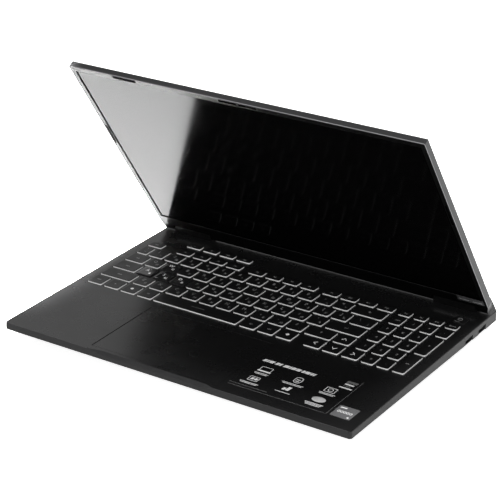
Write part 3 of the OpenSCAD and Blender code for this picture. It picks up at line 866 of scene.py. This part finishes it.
# Painted highlights: pale bars where the deck's front edge catches the light.
painted_edge_highlights = [bar(x, (0.03, 0.4), (-0.1, 0.015), material=edge_highlight_grey)
               for x in ((-174, -85), (47, 174))]
settle(join(painted_edge_highlights, "front_edge_highlight"), "base", "deck_plastic")
print("touchpad:", round(plate_high.x - plate_low.x, 1), "mm wide")

# %% [markdown]
# ## The label on the palm rest
# A feature label is a thin printed film: a heading, six small pictures with a caption
# under each, and a hairline border at the front and right. The pictures here are generic:
# a screen, a box, a dome, blocks, a framed ring and a silver oval.

# %% Label print
film = 0.1
ink_z = (film - 0.03, film + print_rise)
label_marks = []


def caption(x0, x1, y, rows):
    """Thin ragged lines under a picture, like small print seen from afar."""
    line_step = 1.6
    line_height = 0.7
    for row in range(rows):
        shrink = 0.9 * row
        front = y - row * line_step
        label_marks.append(bar((x0 + shrink, x1 - shrink), (front, front + line_height),
                               ink_z, 0.15))


heading = [(53.6, 3.0), (57.2, 1.6), (59.4, 4.4), (65.8, 3.0), (69.4, 2.2), (73.8, 5.0),
           (79.4, 1.6), (81.6, 3.8), (86.0, 4.2), (91.8, 2.4), (94.8, 4.6), (100.2, 2.0),
           (102.8, 1.6)]
for left, width in heading:
    label_marks.append(bar((left, left + width), (61.4, 65.2), ink_z, 1.1))

label_marks += [
    outline((59.8, 70.8), (46.6, 53.4), ink_z, 0.8, 0.5),
    bar((58.8, 71.6), (45.2, 46.8), ink_z, 0.4),
    outline((60.4, 70.0), (27.6, 35.0), ink_z, 0.8, 0.5),
    bar((62.4, 65.0), (29.6, 33.0), ink_z, 0.5),
    bar((66.0, 68.4), (29.6, 33.0), ink_z, 0.5),
    outline((94.0, 101.4), (43.8, 53.6), ink_z, 3.2, 0.6),
    bar((95.8, 99.6), (46.0, 47.0), ink_z),
    bar((95.8, 99.6), (48.6, 49.6), ink_z),
    bar((93.4, 96.0), (29.0, 32.6), ink_z, 0.8),
    bar((96.8, 99.8), (29.0, 35.2), ink_z, 0.8),
    outline((123.6, 133.8), (44.8, 52.8), ink_z, 0.8, 0.6),
    outline((126.2, 131.2), (46.4, 51.2), ink_z, 2.2, 0.6),
    bar((132.4, 142.6), (66.6, 69.8), ink_z, 0.4, line_ink),
    bar((133.0, 141.4), (63.2, 65.0), ink_z, 0.3),
    bar((133.0, 139.6), (60.6, 61.6), ink_z, 0.3, line_ink),
    bar((131.0, 142.8), (57.0, 58.7), ink_z, 0.3),
    bar((50.0, 86.5), (17.8, 18.2), ink_z, 0, line_ink),
    bar((50.4, 145.2), (14.3, 14.6), ink_z, 0, line_ink),
    bar((144.9, 145.2), (14.3, 74.0), ink_z, 0, line_ink),
]
caption(58.8, 72.2, 41.8, 2)
caption(56.5, 74.2, 23.6, 2)
caption(86.8, 107.2, 40.6, 2)
caption(90.0, 104.2, 24.6, 1)
caption(121.6, 136.6, 42.0, 2)
caption(120.0, 137.2, 22.8, 3)
bpy.ops.object.select_all(action="DESELECT")
bpy.ops.mesh.primitive_uv_sphere_add(segments=40, ring_count=16, radius=1,
                                     location=on_deck(128.6, 30.6, film))
dome = bpy.context.object
dome.scale = (6.3 * MM, 4.2 * MM, 0.3 * MM)
bpy.ops.object.transform_apply(location=True, rotation=True, scale=True)
dome.data.materials.append(silver_ink_and_highlight)
label_marks.append(dome)
settle(join(label_marks, "label_print"), "base", "label_film")
print("label marks:", len(label_marks))

# %% [markdown]
# The badge is a square of foil with a thin border, a bar, a dot and a row of five rings.

# %% Badge print
badge_z = (0.12, 0.15 + print_rise)
badge_marks = [outline((148.5, 165.8), (15.5, 32.3), badge_z, 0.9, 0.3, line_ink),
               bar((149.8, 155.6), (29.2, 30.8), badge_z, 0.3),
               disc(163.4, 17.6, badge_z, 1.0, 1.0)]
ring_width = 2.3
for left in (150.4, 153.2, 156.0, 158.8, 161.6):
    badge_marks.append(outline((left, left + ring_width), (22.2, 25.4), badge_z, 0.9, 0.6))
settle(join(badge_marks, "badge_print"), "base", "badge_foil")
print("badge marks:", len(badge_marks))

# %% [markdown]
# ## Details on the lid
# Pieces on the lid are modelled with the lid lying shut, in mm from the hinge axis, and are
# then laid on it by one matrix that is applied to the mesh. `s` runs from the axis to the
# top edge, and `t` from the front face to the back.

# %% Laying pieces on the lid
lid_open_deg = 57.5
hinge_axis = on_deck(0, 240, 5.5)
lid_place = (Matrix.Translation(hinge_axis)
             @ Matrix.Rotation(math.radians(-lid_open_deg), 4, "X")
             @ Matrix.Translation(-on_deck(0, 0, 0)))


def lid_limits(x, s, t):
    """Deck-mm limits of a piece drawn on the shut lid."""
    return x, (-s[1], -s[0]), t


def lay_on_lid(pieces, name, slot, *nodes):
    """Joins pieces drawn on the shut lid and lays them on the open one."""
    piece = join(pieces, name)
    piece.data.transform(lid_place)
    return settle(piece, "lid", slot, *nodes)


# %% [markdown]
# The bezel's copy has four coats. Its front is matt black. On the lid's outer edge, a line
# drawn round it at `seam_front` parts a paler rim in front, a painted highlight where the
# edge catches the light, from the lid's grey behind. The walls round the screen are as dark
# as the gasket. The edge is told from the front by `edge_low` and `edge_high`, which lie just
# inside it, and by the corners at the hinges.
# `edge_low` and `edge_high`, which lie just inside it, and by the corners at the hinges.

# %% Bezel with a bright edge
seam_front = -4.35
wall_normal = 0.8
shut = lid_place.inverted()
edge_low = on_deck(-176.6, -239.2, 0)
edge_high = on_deck(176.6, 1.7, seam_front)
foot_corner = on_deck(173.5, -9, 0)


def on_lid_edge(face):
    """Whether a face of the bezel lies on the lid's outer edge."""
    at = shut @ face.calc_center_median()
    across = shut.to_3x3() @ face.normal
    inside = edge_low.x < at.x < edge_high.x and edge_low.y < at.y < edge_high.y
    near_hinge = abs(at.x) > foot_corner.x and at.y > foot_corner.y
    return abs(across.z) < wall_normal and (near_hinge or not inside)


bezel = copy_shape("screen_bezel", "screen_bezel_edged")
bpy.ops.object.mode_set(mode="EDIT")
pick(bezel, "faces", on_lid_edge)
bpy.ops.mesh.bisect(plane_co=lid_place @ edge_high,
                    plane_no=lid_place.to_3x3() @ Vector((0, 0, 1)))
pick(bezel, "faces", on_lid_edge)
bpy.ops.object.mode_set(mode="OBJECT")
for coat in (bezel_black, lid_grey, rim_highlight_and_mark_grey, gasket_black):
    bezel.data.materials.append(coat)
for face in bezel.data.polygons:
    if face.select:
        # The rim in front of the seam gets the pale grey of a painted highlight.
        face.material_index = 2 if (shut @ face.center).z < edge_high.z else 1
    elif abs((shut.to_3x3() @ face.normal).z) < wall_normal:
        face.material_index = 3
settle(bezel, "lid", "bezel_plastic", "screen_bezel", smooth_deg=0)
print("edge faces:", sum(face.material_index > 0 for face in bezel.data.polygons))

# %% [markdown]
# The camera looks out of a slot above the screen. The slot has a fine trim, the lens and a
# small light in its middle, and a pinhole beyond each end. A dark gasket closes the gap
# between the screen and the bezel, and a fine pale lip runs below it. At the lower right
# are two framed cells with bars in them. All are outlines, bars and discs.

# %% Camera slot, gasket and indicators
camera_mid = 236.8
slot_half = 1.75
slot_trim = [outline(*lid_limits((-20, 20), (camera_mid - slot_half, camera_mid + slot_half),
                                 (-5.12, -4.9)), 1.7, 0.3, inner_black)]
for x in (-40.4, 40.4):
    slot_trim.append(disc(x, -camera_mid, (-5.03, -4.9), 0.5, 0.5, inner_black))
lens = [disc(0, -camera_mid, (-4.95, -4.8), 1.15, 1.15, inner_black),
        disc(9, -camera_mid, (-4.95, -4.8), 0.5, 0.5, light_bar)]
lay_on_lid(slot_trim + lens, "camera_trim", "bezel_plastic")

gasket = outline(*lid_limits((-172.3, 172.3), (18.35, 233.65), (-4.26, -4.1)), 0.1, 1.2,
                 gasket_black)
lower_line = bar(*lid_limits((-140, 148), (17.3, 17.9), (-5.04, -4.9)), material=lid_grey)
lay_on_lid([gasket, lower_line], "screen_gasket", "bezel_plastic")

cells = []
cell_margin = 1.6
cell_t = (-5.0, -4.85)
for left, right in ((148.2, 161.1), (161.9, 174.0)):
    start = left + cell_margin
    stop = right - cell_margin
    cells.append(outline(*lid_limits((left, right), (10.3, 17.5), (-5.02, -4.85)), 0.8, 0.5,
                         lid_grey))
    cells.append(bar(*lid_limits((start, stop), (12.4, 13.2), cell_t), material=rim_highlight_and_mark_grey))
    cells.append(bar(*lid_limits((start, stop - 1), (14.6, 15.4), cell_t), material=lid_grey))
lay_on_lid(cells, "indicator_cells", "light_guide")
print("lid details laid on")

# %% [markdown]
# The back of the lid is a plain brushed sheet. Two fine dark lines stand for the joints of
# the strips that let the antennas' signal out, and four small plugs cover its corner
# fixings. Each is a bar or a disc that stands a few hundredths of a millimetre proud.

# %% Back of the lid
back_root_s = -2.4
back_root_t = 2.8
back_top_s = 238.7
back_top_t = 1.2
joint_s = (231.6, 232.2)
plug_radius = 2.2


def back_t(s):
    """How far back the lid's rear face lies at a distance s from the hinge."""
    rise = back_top_t - back_root_t
    return back_root_t + rise * (s - back_root_s) / (back_top_s - back_root_s)


back_marks = []
for x in ((-168, -60), (60, 168)):
    level = back_t(232)
    back_marks.append(bar(*lid_limits(x, joint_s, (level - 0.1, level + 0.03)),
                          material=gasket_black))
for x in (-166, 166):
    for s in (14, 226):
        level = back_t(s)
        back_marks.append(disc(x, -s, (level - 0.1, level + 0.08), plug_radius, plug_radius,
                               hinge_black))
lay_on_lid(back_marks, "lid_back_marks", "lid_metal")
print("marks on the back:", len(back_marks))

# %% [markdown]
# ## Inside the sockets
# A type A socket has a plastic tongue with four gilded contacts on its lower face. The
# metal shell is in the CAD model, so only the tongue's sleeve and contacts are added.

# %% Socket tongues
socket_middles = (197.5, 221.8)
tongue_half = 5.6
contact_half = 0.5
contact_offsets = (-3.75, -1.25, 1.25, 3.75)
tongues = []
for y in socket_middles:
    tongues.append(bar((165.4, 175.1), (y - tongue_half, y + tongue_half), (-6.95, -4.95),
                       material=inner_black))
    for offset in contact_offsets:
        across = y + offset
        tongues.append(bar((167.0, 174.6), (across - contact_half, across + contact_half),
                           (-7.1, -6.9), material=gold_contact))
settle(join(tongues, "socket_tongues"), "base", "socket_plastic")
print("tongues:", len(socket_middles))
